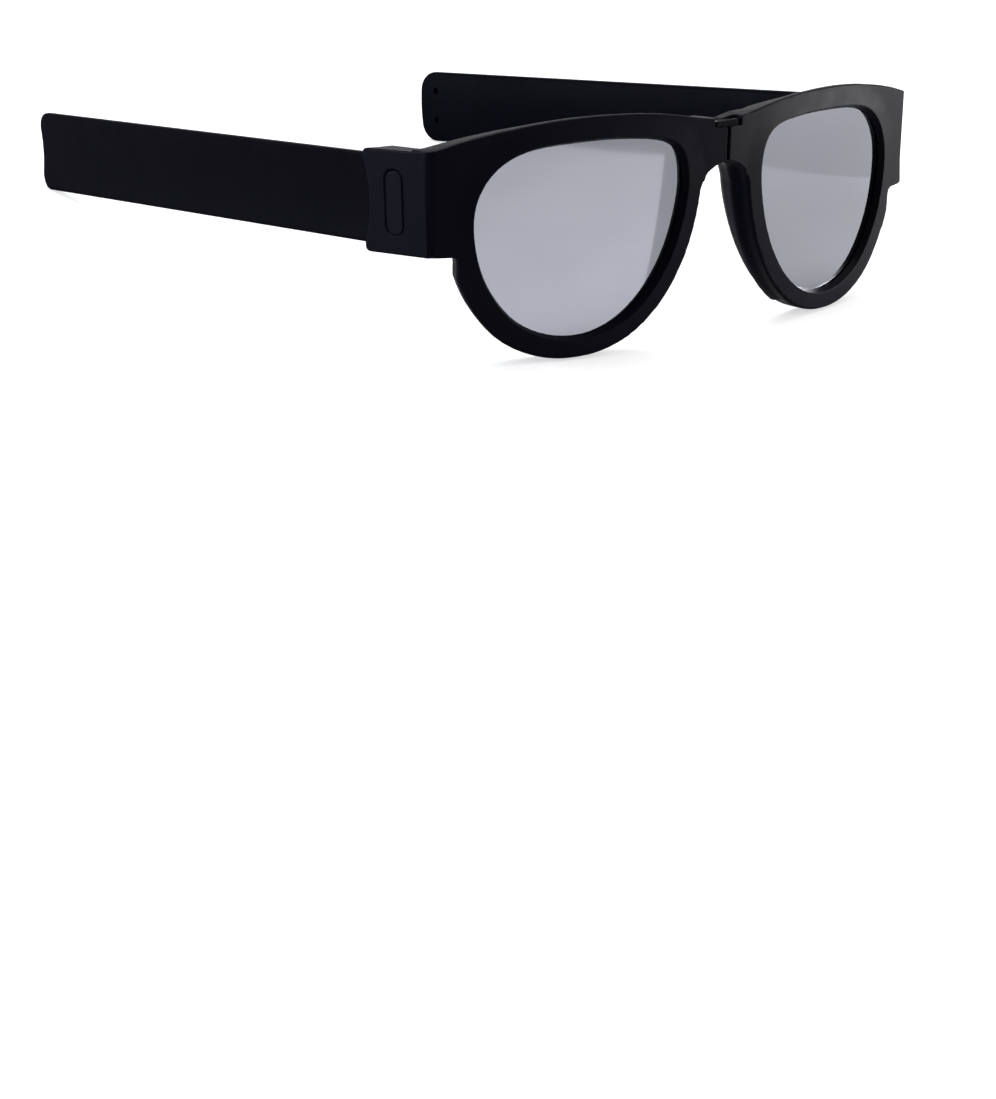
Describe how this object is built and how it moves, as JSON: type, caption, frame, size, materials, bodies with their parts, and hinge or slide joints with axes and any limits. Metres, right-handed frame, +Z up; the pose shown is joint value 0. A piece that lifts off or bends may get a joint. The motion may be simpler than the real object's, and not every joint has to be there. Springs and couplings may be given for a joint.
{
  "type": "slap sunglasses",
  "caption": "Sunglasses with mirror lenses, a front that folds at the bridge, and flat strap temples that snap into rings.",
  "frame": {"origin": "middle of the bounding box, on the floor that the rims and the strap tips stand on", "axes": "+X to the wearer's left, +Y from the lenses to the strap tips, +Z up in the resting pose"},
  "size_m": [0.1474, 0.1719, 0.0507],
  "materials": {
    "frame": "satin black moulded plastic",
    "lens": "silver mirror coat on a smoke-grey lens, dark grey from behind",
    "strap": "soft-touch black silicone, faintly dusty",
    "button": "satin black moulded plastic",
    "clip": "plain black moulded plastic",
    "steel": "plain spring and hinge steel"
  },
  "bodies": {
    "front_left": {"frame_left": "frame", "lens_left": "lens", "hinge_bracket_left": "steel", "hinge_screw_left": "steel", "button_spring_left": "steel", "strap_clip_left": "clip", "clip_rivets_left": "steel", "spring_blade_left": "steel", "sleeve_root_left": "strap"},
    "front_right": {"frame_right": "frame", "lens_right": "lens", "hinge_bracket_right": "steel", "hinge_screw_right": "steel", "button_spring_right": "steel", "strap_clip_right": "clip", "clip_rivets_right": "steel", "spring_blade_right": "steel", "sleeve_root_right": "strap"},
    "link": {"hinge_link": "steel", "hinge_pins": "steel"},
    "button_left": {"release_button_left": "button"},
    "button_right": {"release_button_right": "button"},
    "strap_left_1": {"sleeve_left_1": "strap"},
    "strap_left_2": {"sleeve_left_2": "strap"},
    "strap_left_3": {"sleeve_left_3": "strap"},
    "strap_left_4": {"sleeve_left_4": "strap"},
    "strap_left_5": {"sleeve_left_5": "strap"},
    "strap_left_6": {"sleeve_left_6": "strap"},
    "strap_left_7": {"sleeve_left_7": "strap"},
    "strap_left_8": {"sleeve_left_8": "strap"},
    "strap_left_9": {"sleeve_left_9": "strap"},
    "strap_left_10": {"sleeve_left_10": "strap"},
    "strap_left_11": {"sleeve_left_11": "strap"},
    "strap_left_12": {"sleeve_left_12": "strap"},
    "strap_left_13": {"sleeve_left_13": "strap"},
    "strap_left_14": {"sleeve_left_14": "strap"},
    "strap_right_1": {"sleeve_right_1": "strap"},
    "strap_right_2": {"sleeve_right_2": "strap"},
    "strap_right_3": {"sleeve_right_3": "strap"},
    "strap_right_4": {"sleeve_right_4": "strap"},
    "strap_right_5": {"sleeve_right_5": "strap"},
    "strap_right_6": {"sleeve_right_6": "strap"},
    "strap_right_7": {"sleeve_right_7": "strap"},
    "strap_right_8": {"sleeve_right_8": "strap"},
    "strap_right_9": {"sleeve_right_9": "strap"},
    "strap_right_10": {"sleeve_right_10": "strap"},
    "strap_right_11": {"sleeve_right_11": "strap"},
    "strap_right_12": {"sleeve_right_12": "strap"},
    "strap_right_13": {"sleeve_right_13": "strap"},
    "strap_right_14": {"sleeve_right_14": "strap"}
  },
  "joints": [
    {"name": "fold_left", "type": "hinge", "parent": "front_left", "child": "link", "pos_m": [0.003, -0.0829, 0.04336], "axis": [0, 0.0877, 0.9961], "range_deg": [0, 90]},
    {"name": "fold_right", "type": "hinge", "parent": "link", "child": "front_right", "pos_m": [-0.003, -0.0829, 0.04336], "axis": [0, 0.0877, 0.9961], "range_deg": [0, 90]},
    {"name": "press_left", "type": "slide", "parent": "front_left", "child": "button_left", "axis": [-0.998, -0.0625, 0.0055], "range_m": [0, 0.0004], "stiffness_N_per_m": 600, "deforming": ["button_spring_left"]},
    {"name": "curl_left_1", "type": "hinge", "parent": "front_left", "child": "strap_left_1", "pos_m": [0.07136, -0.05374, 0.03111], "axis": [-0.0046, 0.1603, 0.9871], "range_deg": [0, 8]},
    {"name": "curl_left_2", "type": "hinge", "parent": "strap_left_1", "child": "strap_left_2", "pos_m": [0.07073, -0.04382, 0.0295], "axis": [-0.0046, 0.1603, 0.9871], "range_deg": [0, 21.5]},
    {"name": "curl_left_3", "type": "hinge", "parent": "strap_left_2", "child": "strap_left_3", "pos_m": [0.0701, -0.0339, 0.02788], "axis": [-0.0046, 0.1603, 0.9871], "range_deg": [0, 22.24]},
    {"name": "curl_left_4", "type": "hinge", "parent": "strap_left_3", "child": "strap_left_4", "pos_m": [0.06947, -0.02398, 0.02627], "axis": [-0.0046, 0.1603, 0.9871], "range_deg": [0, 22.98]},
    {"name": "curl_left_5", "type": "hinge", "parent": "strap_left_4", "child": "strap_left_5", "pos_m": [0.06883, -0.01405, 0.02466], "axis": [-0.0046, 0.1603, 0.9871], "range_deg": [0, 23.72]},
    {"name": "curl_left_6", "type": "hinge", "parent": "strap_left_5", "child": "strap_left_6", "pos_m": [0.0682, -0.00413, 0.02304], "axis": [-0.0046, 0.1603, 0.9871], "range_deg": [0, 24.46]},
    {"name": "curl_left_7", "type": "hinge", "parent": "strap_left_6", "child": "strap_left_7", "pos_m": [0.06757, 0.00579, 0.02143], "axis": [-0.0046, 0.1603, 0.9871], "range_deg": [0, 25.2]},
    {"name": "curl_left_8", "type": "hinge", "parent": "strap_left_7", "child": "strap_left_8", "pos_m": [0.06694, 0.01571, 0.01981], "axis": [-0.0046, 0.1603, 0.9871], "range_deg": [0, 25.94]},
    {"name": "curl_left_9", "type": "hinge", "parent": "strap_left_8", "child": "strap_left_9", "pos_m": [0.06631, 0.02563, 0.0182], "axis": [-0.0046, 0.1603, 0.9871], "range_deg": [0, 26.68]},
    {"name": "curl_left_10", "type": "hinge", "parent": "strap_left_9", "child": "strap_left_10", "pos_m": [0.06568, 0.03555, 0.01659], "axis": [-0.0046, 0.1603, 0.9871], "range_deg": [0, 27.42]},
    {"name": "curl_left_11", "type": "hinge", "parent": "strap_left_10", "child": "strap_left_11", "pos_m": [0.06505, 0.04547, 0.01497], "axis": [-0.0046, 0.1603, 0.9871], "range_deg": [0, 28.16]},
    {"name": "curl_left_12", "type": "hinge", "parent": "strap_left_11", "child": "strap_left_12", "pos_m": [0.06442, 0.05539, 0.01336], "axis": [-0.0046, 0.1603, 0.9871], "range_deg": [0, 28.9]},
    {"name": "curl_left_13", "type": "hinge", "parent": "strap_left_12", "child": "strap_left_13", "pos_m": [0.06379, 0.06532, 0.01174], "axis": [-0.0046, 0.1603, 0.9871], "range_deg": [0, 29.64]},
    {"name": "curl_left", "type": "hinge", "parent": "strap_left_13", "child": "strap_left_14", "pos_m": [0.06316, 0.07524, 0.01013], "axis": [-0.0046, 0.1603, 0.9871], "range_deg": [0, 30.38], "deforming": ["spring_blade_left"]},
    {"name": "press_right", "type": "slide", "parent": "front_right", "child": "button_right", "axis": [0.998, -0.0625, 0.0055], "range_m": [0, 0.0004], "stiffness_N_per_m": 600, "deforming": ["button_spring_right"]},
    {"name": "curl_right_1", "type": "hinge", "parent": "front_right", "child": "strap_right_1", "pos_m": [-0.07136, -0.05374, 0.03111], "axis": [-0.0046, -0.1603, -0.9871], "range_deg": [0, 8]},
    {"name": "curl_right_2", "type": "hinge", "parent": "strap_right_1", "child": "strap_right_2", "pos_m": [-0.07073, -0.04382, 0.0295], "axis": [-0.0046, -0.1603, -0.9871], "range_deg": [0, 21.5]},
    {"name": "curl_right_3", "type": "hinge", "parent": "strap_right_2", "child": "strap_right_3", "pos_m": [-0.0701, -0.0339, 0.02788], "axis": [-0.0046, -0.1603, -0.9871], "range_deg": [0, 22.24]},
    {"name": "curl_right_4", "type": "hinge", "parent": "strap_right_3", "child": "strap_right_4", "pos_m": [-0.06947, -0.02398, 0.02627], "axis": [-0.0046, -0.1603, -0.9871], "range_deg": [0, 22.98]},
    {"name": "curl_right_5", "type": "hinge", "parent": "strap_right_4", "child": "strap_right_5", "pos_m": [-0.06883, -0.01405, 0.02466], "axis": [-0.0046, -0.1603, -0.9871], "range_deg": [0, 23.72]},
    {"name": "curl_right_6", "type": "hinge", "parent": "strap_right_5", "child": "strap_right_6", "pos_m": [-0.0682, -0.00413, 0.02304], "axis": [-0.0046, -0.1603, -0.9871], "range_deg": [0, 24.46]},
    {"name": "curl_right_7", "type": "hinge", "parent": "strap_right_6", "child": "strap_right_7", "pos_m": [-0.06757, 0.00579, 0.02143], "axis": [-0.0046, -0.1603, -0.9871], "range_deg": [0, 25.2]},
    {"name": "curl_right_8", "type": "hinge", "parent": "strap_right_7", "child": "strap_right_8", "pos_m": [-0.06694, 0.01571, 0.01981], "axis": [-0.0046, -0.1603, -0.9871], "range_deg": [0, 25.94]},
    {"name": "curl_right_9", "type": "hinge", "parent": "strap_right_8", "child": "strap_right_9", "pos_m": [-0.06631, 0.02563, 0.0182], "axis": [-0.0046, -0.1603, -0.9871], "range_deg": [0, 26.68]},
    {"name": "curl_right_10", "type": "hinge", "parent": "strap_right_9", "child": "strap_right_10", "pos_m": [-0.06568, 0.03555, 0.01659], "axis": [-0.0046, -0.1603, -0.9871], "range_deg": [0, 27.42]},
    {"name": "curl_right_11", "type": "hinge", "parent": "strap_right_10", "child": "strap_right_11", "pos_m": [-0.06505, 0.04547, 0.01497], "axis": [-0.0046, -0.1603, -0.9871], "range_deg": [0, 28.16]},
    {"name": "curl_right_12", "type": "hinge", "parent": "strap_right_11", "child": "strap_right_12", "pos_m": [-0.06442, 0.05539, 0.01336], "axis": [-0.0046, -0.1603, -0.9871], "range_deg": [0, 28.9]},
    {"name": "curl_right_13", "type": "hinge", "parent": "strap_right_12", "child": "strap_right_13", "pos_m": [-0.06379, 0.06532, 0.01174], "axis": [-0.0046, -0.1603, -0.9871], "range_deg": [0, 29.64]},
    {"name": "curl_right", "type": "hinge", "parent": "strap_right_13", "child": "strap_right_14", "pos_m": [-0.06316, 0.07524, 0.01013], "axis": [-0.0046, -0.1603, -0.9871], "range_deg": [0, 30.38], "deforming": ["spring_blade_right"]}
  ],
  "couplings": [
    {"joint": "curl_left_1", "follows": "curl_left", "ratio": 0.2633},
    {"joint": "curl_left_2", "follows": "curl_left", "ratio": 0.7077},
    {"joint": "curl_left_3", "follows": "curl_left", "ratio": 0.732},
    {"joint": "curl_left_4", "follows": "curl_left", "ratio": 0.7564},
    {"joint": "curl_left_5", "follows": "curl_left", "ratio": 0.7807},
    {"joint": "curl_left_6", "follows": "curl_left", "ratio": 0.8051},
    {"joint": "curl_left_7", "follows": "curl_left", "ratio": 0.8294},
    {"joint": "curl_left_8", "follows": "curl_left", "ratio": 0.8538},
    {"joint": "curl_left_9", "follows": "curl_left", "ratio": 0.8782},
    {"joint": "curl_left_10", "follows": "curl_left", "ratio": 0.9025},
    {"joint": "curl_left_11", "follows": "curl_left", "ratio": 0.9269},
    {"joint": "curl_left_12", "follows": "curl_left", "ratio": 0.9512},
    {"joint": "curl_left_13", "follows": "curl_left", "ratio": 0.9756},
    {"joint": "curl_right_1", "follows": "curl_right", "ratio": 0.2633},
    {"joint": "curl_right_2", "follows": "curl_right", "ratio": 0.7077},
    {"joint": "curl_right_3", "follows": "curl_right", "ratio": 0.732},
    {"joint": "curl_right_4", "follows": "curl_right", "ratio": 0.7564},
    {"joint": "curl_right_5", "follows": "curl_right", "ratio": 0.7807},
    {"joint": "curl_right_6", "follows": "curl_right", "ratio": 0.8051},
    {"joint": "curl_right_7", "follows": "curl_right", "ratio": 0.8294},
    {"joint": "curl_right_8", "follows": "curl_right", "ratio": 0.8538},
    {"joint": "curl_right_9", "follows": "curl_right", "ratio": 0.8782},
    {"joint": "curl_right_10", "follows": "curl_right", "ratio": 0.9025},
    {"joint": "curl_right_11", "follows": "curl_right", "ratio": 0.9269},
    {"joint": "curl_right_12", "follows": "curl_right", "ratio": 0.9512},
    {"joint": "curl_right_13", "follows": "curl_right", "ratio": 0.9756}
  ]
}
